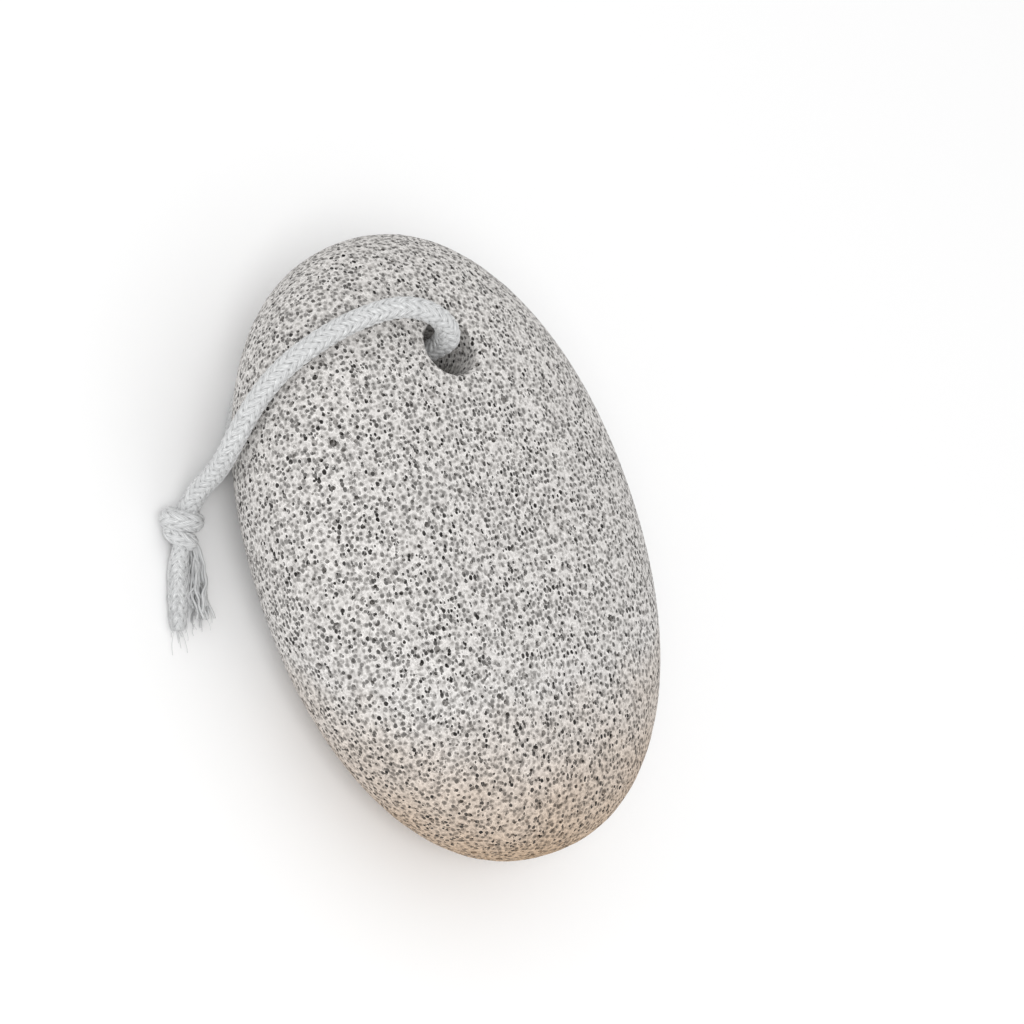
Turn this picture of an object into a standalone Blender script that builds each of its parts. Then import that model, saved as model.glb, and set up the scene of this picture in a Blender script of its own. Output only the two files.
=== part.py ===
"""A pumice stone on a cord: an oval foot stone with a hole near one end, lying on its back.

+Y points to the stone's holed end, +Z is up, and z = 0 is the surface that it lies on. The
stone is one solid, pits and hole included. A braided cord runs from a knot over the stone's
upper face, down the hole, under the stone's end and back to the knot, which lies beside it.
"""
import math
import random

import bmesh
import bpy
import numpy as np
from mathutils import Matrix, Vector

MM = 0.001

# The stone: an oval in plan, with domed faces and full round sides
LENGTH = 100 * MM
WIDTH = 67 * MM
THICKNESS = 36.5 * MM
PLAN_POWER = 2.1                    # 2 is an ellipse; a little more is a fuller oval
EDGE_POWER = 2.5                    # the same for the profile from face to side
REST_TILT = math.radians(2)         # the underside is domed, and lies holed end up
FLAT_DEPTH = 0.40 * MM              # what the flat rubbed on the underside takes off
GRID = (15, 22, 8)                  # facets across, along and through the stone

# The hole for the cord
HOLE_RADIUS = 4.6 * MM
HOLE_FROM_END = 21.9 * MM
TOP_ROUNDING = 0.9 * MM
UNDER_ROUNDING = 3.2 * MM
HOLE_SIDES = 24

# The larger pits, each a broken bubble
PIT_COUNT = 112
PIT_RADIUS = (0.80 * MM, 1.50 * MM)
PIT_SPACING = 1.0 * MM              # the least wall between two of them
PIT_SEED = 11

# The cord, its knot and the two tails below the knot
CORD_RADIUS = 1.7 * MM
CORD_POINTS = 56
CORD_ROUTE = (                      # in mm, from the knot over the stone and back under it
    (-35.0, 19.5, 5.9), (-32.7, 21.2, 10.7), (-32.7, 24.0, 17.6), (-30.7, 27.7, 22.4),
    (-26.9, 31.5, 27.8), (-21.3, 34.0, 32.0), (-13.1, 35.3, 35.0), (-8.0, 34.5, 38.1),
    (-3.4, 32.0, 38.6), (0.8, 28.3, 34.8), (1.9, 27.6, 29.4), (0.1, 27.5, 21.2),
    (0.9, 26.5, 13.9), (1.3, 27.1, 6.5), (-1.1, 31.4, 2.2), (-4.5, 34.9, 1.8),
    (-11.9, 35.6, 1.9), (-17.2, 30.9, 1.8), (-20.7, 26.3, 1.9), (-26.3, 22.0, 2.1),
    (-31.5, 17.6, 3.2),
)
KNOT_CENTRE = (-36.1, 16.0, 3.75)   # in mm
KNOT_AXIS = (0.12, 0.92, 0.37)      # from the tails towards the loop
TAIL_PLAIN = (                      # in mm: x, y, z and the radius there
    (-37.3, 12.2, 2.3, 1.30), (-38.3, 10.1, 1.6, 1.35), (-39.4, 7.3, 1.4, 1.35),
    (-40.4, 4.4, 1.4, 1.35), (-41.5, 1.0, 1.4, 1.25),
)
TAIL_FRAYED = (
    (-34.6, 12.2, 2.4, 0.95), (-34.9, 10.2, 1.7, 1.05), (-35.7, 7.4, 1.5, 1.20),
    (-36.6, 4.2, 1.5, 1.40), (-37.4, 0.9, 1.6, 1.45),
)
TAIL_SIDES = 12

STONE_COLOUR = (0.62, 0.60, 0.58)
CORD_COLOUR = (0.80, 0.81, 0.82)

HOLE_Y = LENGTH / 2 - HOLE_FROM_END
HALF = Vector((WIDTH / 2, LENGTH / 2, THICKNESS / 2))


def clear_scene():
    """Remove every object of the start-up file."""
    for ob in list(bpy.data.objects):
        bpy.data.objects.remove(ob, do_unlink=True)


def plain_material(name, colour, roughness):
    """A Principled material of one colour."""
    mat = bpy.data.materials.new(name)
    mat.use_nodes = True
    bsdf = mat.node_tree.nodes["Principled BSDF"]
    bsdf.inputs["Base Color"].default_value = (*colour, 1)
    bsdf.inputs["Roughness"].default_value = roughness
    bsdf.inputs["Metallic"].default_value = 0
    return mat


def add_object(name, mesh, mat=None, smooth_angle=None):
    """Put a mesh into the scene under a name; with no material it is a cutter."""
    ob = bpy.data.objects.new(name, mesh)
    bpy.context.collection.objects.link(ob)
    if mat:
        mesh.materials.append(mat)
    else:
        ob.hide_render = True
        ob.display_type = "WIRE"
    if smooth_angle is not None:
        mesh.shade_smooth()
        mesh.set_sharp_from_angle(angle=smooth_angle)
    return ob


def mesh_from(bm, name):
    """Finish a bmesh as triangles facing out."""
    bmesh.ops.recalc_face_normals(bm, faces=bm.faces)
    bmesh.ops.triangulate(bm, faces=bm.faces)
    mesh = bpy.data.meshes.new(name)
    bm.to_mesh(mesh)
    bm.free()
    return mesh


def stone_size(p):
    """How far out p lies, from 0 at the stone's middle to 1 on its surface."""
    plan = abs(p[0] / HALF.x) ** PLAN_POWER + abs(p[1] / HALF.y) ** PLAN_POWER
    return (plan ** (EDGE_POWER / PLAN_POWER) + abs(p[2] / HALF.z) ** EDGE_POWER) ** (1 / EDGE_POWER)


def face_height(x, y):
    """Height of the upper face above the middle plane at x, y."""
    plan = abs(x / HALF.x) ** PLAN_POWER + abs(y / HALF.y) ** PLAN_POWER
    return HALF.z * (1 - plan ** (EDGE_POWER / PLAN_POWER)) ** (1 / EDGE_POWER)


def stone_lift():
    """The matrix that lays the stone from its own middle onto z = 0."""
    turn = Matrix.Rotation(REST_TILT, 4, "X")
    step = math.pi / 720
    lowest = min((turn @ Vector((0, HALF.y * math.cos(a), -face_height(0, HALF.y * math.cos(a))))).z
                 for a in (step * k for k in range(1, 720)))
    return Matrix.Translation((0, 0, -lowest - FLAT_DEPTH)) @ turn


def stone_blank():
    """The whole oval: a box cut into a grid, then drawn in to the rounded form."""
    bm = bmesh.new()
    bmesh.ops.create_cube(bm, size=2)
    for axis, count in enumerate(GRID):
        normal = [0, 0, 0]
        normal[axis] = 1
        for k in range(1, count):
            point = [value * (2 * k / count - 1) for value in normal]
            bmesh.ops.bisect_plane(bm, geom=bm.verts[:] + bm.edges[:] + bm.faces[:],
                                   plane_co=point, plane_no=normal)
    for v in bm.verts:
        spread = Vector(math.tan(c * math.pi / 4) for c in v.co)
        out = Vector(spread[i] * HALF[i] for i in range(3))
        v.co = out / stone_size(out)
    return bm


def ring_edges(bm, radius, height):
    """One ring of the hole's cutter; height(x, y) gives each point's z."""
    ring = bmesh.ops.create_circle(bm, segments=HOLE_SIDES, radius=radius)["verts"]
    for v in ring:
        v.co.y += HOLE_Y
        v.co.z = height(v.co.x, v.co.y)
    return list({e for v in ring for e in v.link_edges})


def hole_cutter():
    """The hole as a solid, its mouths flared to round the rims along the domed faces."""
    past = 3 * MM
    bm = bmesh.new()
    rings = []
    for side, rounding in ((-1, UNDER_ROUNDING), (1, TOP_ROUNDING)):
        mouth = []
        for degrees in (0, 25, 50, 72):
            angle = math.radians(degrees)
            radius = HOLE_RADIUS + rounding * (1 - math.cos(angle))
            depth = rounding * (1 - math.sin(angle))
            mouth.append((radius, lambda x, y, d=depth, s=side: s * (face_height(x, y) - d)))
        widest = mouth[-1][0]
        mouth.append((widest + 0.3 * MM, lambda x, y, s=side: s * (face_height(x, y) + past)))
        rings += mouth[::-1] if side < 0 else mouth
    loops = [ring_edges(bm, radius, height) for radius, height in rings]
    for lower, upper in zip(loops, loops[1:]):
        bmesh.ops.bridge_loops(bm, edges=lower + upper)
    for end in (loops[0], loops[-1]):
        bmesh.ops.contextual_create(bm, geom=end)
    return bm


def pit_places():
    """Centre and radius of each large pit, spread evenly and clear of the hole and the flat."""
    rng = random.Random(PIT_SEED)
    lift = stone_lift()
    pits = []
    while len(pits) < PIT_COUNT:
        way = Vector((rng.gauss(0, 1), rng.gauss(0, 1), rng.gauss(0, 1))).normalized()
        crowding = Vector(way[i] / HALF[i] for i in range(3)).length * HALF.z
        radius = PIT_RADIUS[0] + (PIT_RADIUS[1] - PIT_RADIUS[0]) * rng.random() ** 2.2
        keep = rng.random() < crowding
        out = Vector(way[i] * HALF[i] for i in range(3))
        centre = out / stone_size(out) * (1 + rng.uniform(-0.1, 0.25) * radius / HALF.z)
        by_hole = math.hypot(centre.x, centre.y - HOLE_Y) < HOLE_RADIUS + UNDER_ROUNDING + radius
        by_flat = (lift @ centre).z < radius + 0.5 * MM
        crowded = any((centre - c).length < radius + r + PIT_SPACING for c, r in pits)
        if keep and not (by_hole or by_flat or crowded):
            pits.append((centre, radius))
    return pits


def pit_cutter():
    """All the large pits as one cutter of separate rough bubbles."""
    rng = random.Random(PIT_SEED + 1)
    bm = bmesh.new()
    for centre, radius in pit_places():
        turn = Matrix.Rotation(rng.uniform(0, math.tau), 4, (rng.uniform(-1, 1), rng.uniform(-1, 1), 1))
        stretch = Matrix.Diagonal((rng.uniform(0.85, 1.2), rng.uniform(0.85, 1.1), 1, 1))
        bmesh.ops.create_icosphere(bm, subdivisions=1, radius=radius * 1.08,
                                   matrix=Matrix.Translation(centre) @ turn @ stretch)
    return bm


def cut(target, cutter):
    """Take one object's shape out of another."""
    mod = target.modifiers.new("cut " + cutter.name, "BOOLEAN")
    mod.operation = "DIFFERENCE"
    mod.object = cutter


def make_stone(mat):
    """The stone, bored and pitted, laid on the flat of its underside."""
    stone = add_object("stone", mesh_from(stone_blank(), "stone"), mat)
    hole = add_object("hole_cutter", mesh_from(hole_cutter(), "hole_cutter"))
    pits = add_object("pit_cutter", mesh_from(pit_cutter(), "pit_cutter"))
    below = bmesh.new()
    bmesh.ops.create_cube(below, size=1, matrix=Matrix.Diagonal((WIDTH, LENGTH, 20 * MM, 1)))
    floor = add_object("floor_cutter", mesh_from(below, "floor_cutter"))
    floor.location.z = -10 * MM
    for ob in (stone, hole, pits):
        ob.matrix_world = stone_lift()
    for cutter in (hole, pits, floor):
        cut(stone, cutter)
    return stone


def smooth_route(points, count):
    """Even steps along the natural cubic spline through the points."""
    pts = np.array(points, float)
    n = len(pts)
    t = np.concatenate([[0], np.cumsum(np.linalg.norm(np.diff(pts, axis=0), axis=1))])
    h = np.diff(t)
    system = np.eye(n)
    right = np.zeros_like(pts)
    for i in range(1, n - 1):
        system[i, i - 1:i + 2] = h[i - 1], 2 * (h[i - 1] + h[i]), h[i]
        right[i] = 6 * ((pts[i + 1] - pts[i]) / h[i] - (pts[i] - pts[i - 1]) / h[i - 1])
    bend = np.linalg.solve(system, right)

    def at(s):
        i = np.clip(np.searchsorted(t, s) - 1, 0, n - 2)
        a = ((t[i + 1] - s) / h[i])[:, None]
        b = 1 - a
        return (a * pts[i] + b * pts[i + 1]
                + ((a ** 3 - a) * bend[i] + (b ** 3 - b) * bend[i + 1]) * (h[i] ** 2)[:, None] / 6)

    fine = at(np.linspace(0, t[-1], 40 * n))
    run = np.concatenate([[0], np.cumsum(np.linalg.norm(np.diff(fine, axis=0), axis=1))])
    even = np.linspace(0, run[-1], count)
    return np.stack([np.interp(even, run, fine[:, k]) for k in range(3)], axis=1)


def make_cord(mat):
    """The loop of cord, a round tube along its route."""
    curve = bpy.data.curves.new("cord_loop", "CURVE")
    curve.dimensions = "3D"
    curve.bevel_depth = CORD_RADIUS
    curve.bevel_resolution = 2
    curve.use_fill_caps = True
    line = curve.splines.new("POLY")
    points = smooth_route(CORD_ROUTE, CORD_POINTS) * MM
    line.points.add(len(points) - 1)
    for point, place in zip(line.points, points):
        point.co = (*place, 1)
    curve.materials.append(mat)
    cord = bpy.data.objects.new("cord_loop", curve)
    bpy.context.collection.objects.link(cord)
    return cord


def tail_mesh(name, stations):
    """A tail below the knot: rings of the given radii, joined and closed."""
    bm = bmesh.new()
    loops = []
    places = [Vector(s[:3]) * MM for s in stations]
    for k, (*_, radius) in enumerate(stations):
        along = places[min(k + 1, len(places) - 1)] - places[max(k - 1, 0)]
        frame = Matrix.Translation(places[k]) @ along.to_track_quat("Z", "Y").to_matrix().to_4x4()
        ring = bmesh.ops.create_circle(bm, segments=TAIL_SIDES, radius=radius * MM, matrix=frame)
        loops.append(list({e for v in ring["verts"] for e in v.link_edges}))
    for near, far in zip(loops, loops[1:]):
        bmesh.ops.bridge_loops(bm, edges=near + far)
    for end in (loops[0], loops[-1]):
        bmesh.ops.contextual_create(bm, geom=end)
    return mesh_from(bm, name)


def wrap_mesh(name, major, minor, frame):
    """One turn of cord round the knot's axis."""
    bm = bmesh.new()
    ring = bmesh.ops.create_circle(bm, segments=12, radius=minor,
                                   matrix=Matrix.Translation((major, 0, 0)) @ Matrix.Rotation(math.pi / 2, 4, "X"))
    edges = list({e for v in ring["verts"] for e in v.link_edges})
    bmesh.ops.spin(bm, geom=ring["verts"] + edges, cent=(0, 0, 0), axis=(0, 0, 1),
                   angle=math.tau, steps=20, use_merge=True)
    bmesh.ops.remove_doubles(bm, verts=bm.verts, dist=0.00002)
    bmesh.ops.transform(bm, matrix=frame, verts=bm.verts)
    return mesh_from(bm, name)


def make_knot(mat):
    """The knot: a core with a wide upper turn and a smaller lower one fused to it."""
    frame = (Matrix.Translation(Vector(KNOT_CENTRE) * MM)
             @ Vector(KNOT_AXIS).to_track_quat("Z", "Y").to_matrix().to_4x4())
    bm = bmesh.new()
    bmesh.ops.create_icosphere(bm, subdivisions=3, radius=1,
                               matrix=frame @ Matrix.Diagonal((2.3 * MM, 2.3 * MM, 3.2 * MM, 1)))
    knot = add_object("knot", mesh_from(bm, "knot"), mat, math.radians(40))
    for name, up, lean, major, minor in (("upper_turn", 0.9, 14, 1.85, 1.72),
                                         ("lower_turn", -1.75, -16, 1.35, 1.45)):
        placed = frame @ Matrix.Translation((0, 0, up * MM)) @ Matrix.Rotation(math.radians(lean), 4, "Y")
        turn = add_object(name, wrap_mesh(name, major * MM, minor * MM, placed))
        mod = knot.modifiers.new(name, "BOOLEAN")
        mod.operation = "UNION"
        mod.object = turn
    return knot


def main():
    clear_scene()
    pumice = plain_material("pumice", STONE_COLOUR, 0.95)
    cotton = plain_material("white cotton cord", CORD_COLOUR, 0.85)
    make_stone(pumice)
    make_cord(cotton)
    make_knot(plain_material("white cotton knot", CORD_COLOUR, 0.85))
    for name, stations in (("tail_plain", TAIL_PLAIN), ("tail_frayed", TAIL_FRAYED)):
        tail_mat = plain_material("white cotton " + name, CORD_COLOUR, 0.85)
        add_object(name, tail_mesh(name, stations), tail_mat, math.radians(40))


main()
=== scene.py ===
# %% [markdown]
# # A pumice stone on a cord
# The object is an oval foot stone: volcanic foam, sawn and tumbled to a smooth form, with a
# braided cord through a hole near one end. Its plain solids were made in CAD, to their real
# sizes. This lesson loads them as a fixed frame and gives each one the surface of the real
# thing: thousands of broken bubbles in the stone, and the yarns of the braid in the cord.

# %% Load the frame
import itertools
import math
import random

import bmesh
import bpy
import numpy as np
from mathutils import Matrix, Vector
from mathutils.bvhtree import BVHTree
from mathutils.kdtree import KDTree


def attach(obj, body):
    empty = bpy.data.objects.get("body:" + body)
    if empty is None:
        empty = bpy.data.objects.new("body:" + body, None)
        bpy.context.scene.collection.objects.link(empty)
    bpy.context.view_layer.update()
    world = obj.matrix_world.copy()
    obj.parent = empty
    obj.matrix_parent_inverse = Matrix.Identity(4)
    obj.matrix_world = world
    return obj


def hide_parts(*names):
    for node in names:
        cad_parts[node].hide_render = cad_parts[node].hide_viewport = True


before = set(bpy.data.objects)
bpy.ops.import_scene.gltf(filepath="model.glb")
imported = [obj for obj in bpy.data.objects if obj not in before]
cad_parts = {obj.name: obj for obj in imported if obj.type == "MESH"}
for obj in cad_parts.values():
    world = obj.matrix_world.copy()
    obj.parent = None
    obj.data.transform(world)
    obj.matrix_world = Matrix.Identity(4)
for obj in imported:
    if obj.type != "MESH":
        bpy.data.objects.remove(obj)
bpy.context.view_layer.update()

MM = 0.001

# %% [markdown]
# ## The camera
# The stone lies on its back, and the camera looks down on it from its left side, with a long
# lens, so that the oval shows nearly as it is. The camera could be aimed with a constraint.
# Here its three axes are worked out instead, because the view is also rolled: the stone's
# holed end points up in the render, not away from the viewer.

# %% Camera
STONE_MIDDLE = Vector((0, 0, 18.1 * MM))
VIEW_RIGHT = Vector((0.7466, -0.3407, 0.5715))      # the render's right and up, in the frame
VIEW_UP = Vector((0.2232, 0.9374, 0.2672))
VIEW_BACK = VIEW_RIGHT.cross(VIEW_UP).normalized()
VIEW_DISTANCE = 620 * MM
LENS_MM, SENSOR_MM = 140.75, 36
AIM_RIGHT, AIM_UP = 9.75 * MM, 5.25 * MM            # the stone sits left of and below the centre

eye = STONE_MIDDLE + VIEW_BACK * VIEW_DISTANCE
aim = STONE_MIDDLE + VIEW_RIGHT * AIM_RIGHT + VIEW_UP * AIM_UP
back = (eye - aim).normalized()
right = VIEW_UP.cross(back).normalized()
camera = bpy.data.objects.new("camera", bpy.data.cameras.new("camera"))
camera.data.sensor_width = SENSOR_MM
camera.data.lens = LENS_MM
camera.data.clip_start = 10 * MM
camera.matrix_world = (Matrix.Translation(eye)
                       @ Matrix((right, back.cross(right), back)).transposed().to_4x4())
bpy.context.scene.collection.objects.link(camera)
bpy.context.scene.camera = camera
print("camera height %.0f mm, lens %.1f mm" % (eye.z / MM, camera.data.lens))

# %% [markdown]
# ## The route of the cord
# The cord is limp and about 3.4 mm thick. It leaves the knot beside the stone, climbs over
# the upper face, dips into the hole, comes out underneath and lies along the table back to
# the knot. A curve object would follow the same points. The braid needs a frame at each
# point, so the route is read here as points, 0.17 mm apart, along a smooth spline. The first
# and last points lie inside the knot.

# %% Route
CORD_DIAMETER = 3.4 * MM
CORD_ROUTE = (                      # in mm, from the knot over the stone and back under it
    (-35.0, 19.5, 5.9), (-32.7, 21.2, 10.7), (-32.5, 23.9, 17.6), (-30.4, 27.6, 22.3),
    (-26.6, 31.4, 27.4), (-21.0, 33.8, 31.4), (-13.4, 35.2, 34.7), (-8.0, 34.5, 38.0),
    (-3.4, 32.0, 38.4), (0.1, 29.1, 34.7), (0.0, 28.5, 29.2), (-0.5, 28.1, 21.2),
    (0.9, 26.5, 13.9), (1.3, 27.1, 6.5), (-1.1, 31.4, 2.2), (-4.5, 34.9, 1.8),
    (-11.9, 35.6, 1.9), (-17.2, 30.9, 1.8), (-20.7, 26.3, 1.9), (-26.6, 22.3, 2.0),
    (-32.4, 19.0, 2.4),
)
KNOT_END = ((-35.4, 16.6, 4.2), (-34.0, 19.2, 6.0))     # squeezed together where they
KNOT_START = ((-34.4, 17.4, 3.0), (-35.4, 16.3, 3.4))   # enter the knot
STEP = 0.17 * MM
FINE = 40                           # samples for each given point, before they are spaced out


def smooth_route(points, step):
    """Even steps along the natural cubic spline through the points."""
    pts = np.array(points, float)
    n = len(pts)
    t = np.concatenate([[0], np.cumsum(np.linalg.norm(np.diff(pts, axis=0), axis=1))])
    h = np.diff(t)
    system = np.eye(n)
    right = np.zeros_like(pts)
    for i in range(1, n - 1):
        system[i, i - 1:i + 2] = h[i - 1], 2 * (h[i - 1] + h[i]), h[i]
        right[i] = 6 * ((pts[i + 1] - pts[i]) / h[i] - (pts[i] - pts[i - 1]) / h[i - 1])
    bend = np.linalg.solve(system, right)
    s = np.linspace(0, t[-1], FINE * n)
    i = np.clip(np.searchsorted(t, s) - 1, 0, n - 2)
    a = ((t[i + 1] - s) / h[i])[:, None]
    b = 1 - a
    fine = (a * pts[i] + b * pts[i + 1]
            + ((a ** 3 - a) * bend[i] + (b ** 3 - b) * bend[i + 1]) * (h[i] ** 2)[:, None] / 6)
    run = np.concatenate([[0], np.cumsum(np.linalg.norm(np.diff(fine[:, :3], axis=0), axis=1))])
    even = np.linspace(0, run[-1], max(4, round(run[-1] / step)))
    return np.stack([np.interp(even, run, fine[:, k]) for k in range(pts.shape[1])], axis=1)


def run_length(line):
    """The length along a line of points, at each of them."""
    return np.concatenate([[0], np.cumsum(np.linalg.norm(np.diff(line[:, :3], axis=0), axis=1))])


cord_line = smooth_route(np.array((*KNOT_END, *CORD_ROUTE[1:], *KNOT_START)) * MM, STEP)
cord_length = run_length(cord_line)[-1]
print("loop: %d points, %.1f mm of cord" % (len(cord_line), cord_length / MM))

# %% [markdown]
# ## A braid
# The cord is braided from sixteen yarns, eight winding each way, each passing over two and
# under two of the others, which draws the columns of small Vs. Sixteen separate tubes would
# be the plain way to make it, but they cut into each other at every crossing. One tube whose
# wall rises and falls as the yarns do is closed and clean, so a grid is rolled up along the
# route, and each vertex is lifted to the yarn that lies on top there.

# %% Braided tube
YARNS_EACH_WAY = 8
PICK = 1.65 * MM                    # from one V to the next along the cord
AROUND = 80                         # faces round the cord
PASS_HEIGHT, YARN_CROWN = 0.45, 0.9 # what going over or under, and a yarn's round back, add
PASS_FLATNESS, YARN_EDGE = 1.5, 0.95
MID_HEIGHT = 0.35                   # taken off, so that the top of a yarn comes to 1
END_ROUNDING, END_SHRINK = 0.45 * MM, 0.28
MERGE = 0.0001 * MM


def side_directions(line):
    """Two directions across the line at each point, carried along it without twisting."""
    ahead = np.gradient(line[:, :3], axis=0)
    ahead /= np.linalg.norm(ahead, axis=1)[:, None]
    first = np.cross(ahead[0], (0, 0, 1) if abs(ahead[0][2]) < 0.8 else (1, 0, 0))
    across = [first / np.linalg.norm(first)]
    for d in ahead[1:]:
        c = across[-1] - d * across[-1].dot(d)
        across.append(c / np.linalg.norm(c))
    across = np.array(across)
    return across, np.cross(ahead, across)


def braid_relief(turn, along, pick):
    """Height of the braid, 1 on a yarn's top and about 0 in a groove, and how far across its
    yarn a point is, from -1 to 1."""
    best, over = None, None
    for way in (1, -1):
        mine = YARNS_EACH_WAY * turn + way * along / pick
        other = YARNS_EACH_WAY * turn - way * along / pick
        across = 2 * (mine - np.floor(mine)) - 1
        wave = way * np.cos(math.tau * (np.floor(mine) + other) / 4)
        height = (PASS_HEIGHT * np.clip(PASS_FLATNESS * wave, -1, 1)
                  + YARN_CROWN * np.sqrt(1 - YARN_EDGE * across ** 2) - MID_HEIGHT)
        if best is None:
            best, over = height, across
        else:
            over = np.where(height > best, across, over)
            best = np.maximum(height, best)
    return best, over


def braided_tube(bm, line, radius, relief, pick=PICK, around=AROUND):
    """Add a closed braided tube along a line of points, and note the yarns in two layers."""
    groove = bm.verts.layers.float.get("groove") or bm.verts.layers.float.new("groove")
    fibre = bm.verts.layers.float_vector.get("fibre") or bm.verts.layers.float_vector.new("fibre")
    count = len(line)
    radius = np.broadcast_to(radius, count)
    grid = bmesh.ops.create_grid(bm, x_segments=around, y_segments=count - 1, size=0.5)["verts"]
    place = np.array([v.co for v in grid])
    turn = place[:, 0] + 0.5
    ring = np.rint((place[:, 1] + 0.5) * (count - 1)).astype(int)
    run = run_length(line)
    height, over = braid_relief(turn, run[ring], pick)
    end = np.minimum(run[ring], run[-1] - run[ring])
    rounding = 1 - END_SHRINK * (1 - np.sqrt(np.minimum(1, end / END_ROUNDING)))
    out = (radius[ring] + relief * (height - 1)) * rounding
    across, upward = side_directions(line)
    angle = math.tau * turn
    co = (line[ring, :3] + across[ring] * (out * np.cos(angle))[:, None]
          + upward[ring] * (out * np.sin(angle))[:, None])
    for v, c, h, a, s in zip(grid, co, height, over, run[ring]):
        v.co = c
        v[groove] = (1 - h) / 2
        v[fibre] = (a, s / MM, 0)
    bmesh.ops.remove_doubles(bm, verts=grid, dist=MERGE)
    ends = [e for e in bm.edges if e.is_boundary]
    caps = bmesh.ops.holes_fill(bm, edges=ends, sides=0)["faces"]
    bmesh.ops.poke(bm, faces=caps)


def cord_piece(name, bm):
    """Turn a bmesh into a finished piece of the cord that rides on the frame."""
    bmesh.ops.recalc_face_normals(bm, faces=bm.faces)
    mesh = bpy.data.meshes.new(name)
    bm.to_mesh(mesh)
    bm.free()
    mesh.shade_smooth()
    piece = bpy.data.objects.new(name, mesh)
    bpy.context.scene.collection.objects.link(piece)
    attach(piece, "root")
    print("%s: %d faces" % (name, len(mesh.polygons)))
    return piece


# %% [markdown]
# ## The loop
# The loop is one braided tube along the whole route. Where a soft cord bends over the rim of
# the hole it spreads, which a lattice or a sculpting brush could do. Here the radius grows
# smoothly near the bend, so that the braid follows it.

# %% The loop of cord
RELIEF = 0.30 * MM                  # from the top of a yarn down to the groove beside it
RIM_BEND = np.array((0, 29.1, 34.7)) * MM
RIM_SPREAD, RIM_REACH = 0.35 * MM, 3 * MM

from_bend = np.linalg.norm(cord_line - RIM_BEND, axis=1)
loop_radius = CORD_DIAMETER / 2 + RIM_SPREAD * np.exp(-(from_bend / RIM_REACH) ** 2)
loop_bm = bmesh.new()
braided_tube(loop_bm, cord_line, loop_radius, RELIEF)
cord_loop = cord_piece("braided_cord", loop_bm)
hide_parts("cord_loop")

# %% [markdown]
# ## The knot
# Both ends of the loop are tied together in one overhand knot. What shows is the turn that
# wraps them, wide at the top, and a second pass below it that tucks in under the first. It is
# the same cord, pulled tight, so it is the same braided tube along a spiral round the knot's
# axis, with its ends hidden in the middle.

# %% Knot
KNOT_CENTRE = Vector((-36.1, 16.0, 3.75)) * MM
KNOT_AXIS = Vector((0.12, 0.92, 0.37)).normalized()
KNOT_FRONT = Vector((-0.63, -0.07, 0.78))
KNOT_SPIRAL = (                     # degrees round, then mm out, mm up the axis and thickness
    (-215, 0.3, 0.2, 1.2), (-170, 1.1, 1.0, 1.5), (-120, 1.75, 1.25, 1.65),
    (-60, 1.85, 1.1, 1.7), (0, 1.85, 0.95, 1.7), (60, 1.85, 0.7, 1.7), (120, 1.8, 0.4, 1.65),
    (180, 1.7, 0.0, 1.55), (240, 1.6, -0.4, 1.5), (300, 1.5, -1.0, 1.5), (360, 1.4, -1.75, 1.45),
    (415, 1.35, -2.4, 1.4), (460, 0.9, -2.4, 1.3), (510, 0.2, -1.8, 1.1),
)


def knot_line():
    """The spiral of the knot as points in the frame, with the cord's radius at each."""
    front = (KNOT_FRONT - KNOT_AXIS * KNOT_FRONT.dot(KNOT_AXIS)).normalized()
    side = KNOT_AXIS.cross(front)
    rows = []
    for degrees, out, up, thick in KNOT_SPIRAL:
        a = math.radians(degrees)
        away = (front * math.cos(a) + side * math.sin(a)) * out * MM
        p = KNOT_CENTRE + away + KNOT_AXIS * up * MM
        rows.append((*p, thick * MM))
    return smooth_route(rows, STEP)


knot_bm = bmesh.new()
knot_route = knot_line()
braided_tube(knot_bm, knot_route, knot_route[:, 3], RELIEF)
knot = cord_piece("tied_knot", knot_bm)
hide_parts("knot")

# %% [markdown]
# ## The two tails
# Below the knot the two ends hang out about 12 mm. One is cut clean and keeps its braid. The
# other has come undone: its yarns spread, wave and bow outwards. On both, single fibres have
# worked loose. A hair system would grow such fibres, but they have to be a mesh for the
# export, so each yarn and fibre is a thin tube of its own. Their routes are drawn from a
# seeded random number, so that they are the same each time.

# %% Yarns and fibres
FIBRE_RADIUS = 0.045 * MM           # a tuft of filaments; one alone is too fine to show
FIBRE_POINTS = 6
FIBRE_ROOT = 0.2 * MM               # how deep in the tail a fibre starts
FIBRE_LIFT = (0.2 * MM, 0.55 * MM)  # how high it rises from there
FIBRE_SPIN = 1.2                    # how far round the tail it may stray, in radians
FIBRE_STRIDE = (2, 5)               # steps of the route between two of its points
FIBRE_DROOP = 0.75                  # it rises and droops over this share of a half wave
FIBRE_LOWEST = 0.1 * MM             # so that it stays above the table
FIBRE_SEED = 3


def yarn_tube(bm, line, radius, sides=8):
    """Add one loose yarn or fibre as a thin tube with closed ends."""
    across, upward = side_directions(line)
    rings = []
    for p, a, u in zip(line, across, upward):
        place = Matrix((a, u, np.cross(a, u))).transposed().to_4x4()
        place.translation = p[:3]
        made = bmesh.ops.create_circle(bm, segments=sides, radius=radius, matrix=place)["verts"]
        rings.append(list({e for v in made for e in v.link_edges}))
    for near, far in zip(rings, rings[1:]):
        bmesh.ops.bridge_loops(bm, edges=near + far)
    for ends in (rings[0], rings[-1]):
        bmesh.ops.contextual_create(bm, geom=ends)


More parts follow.
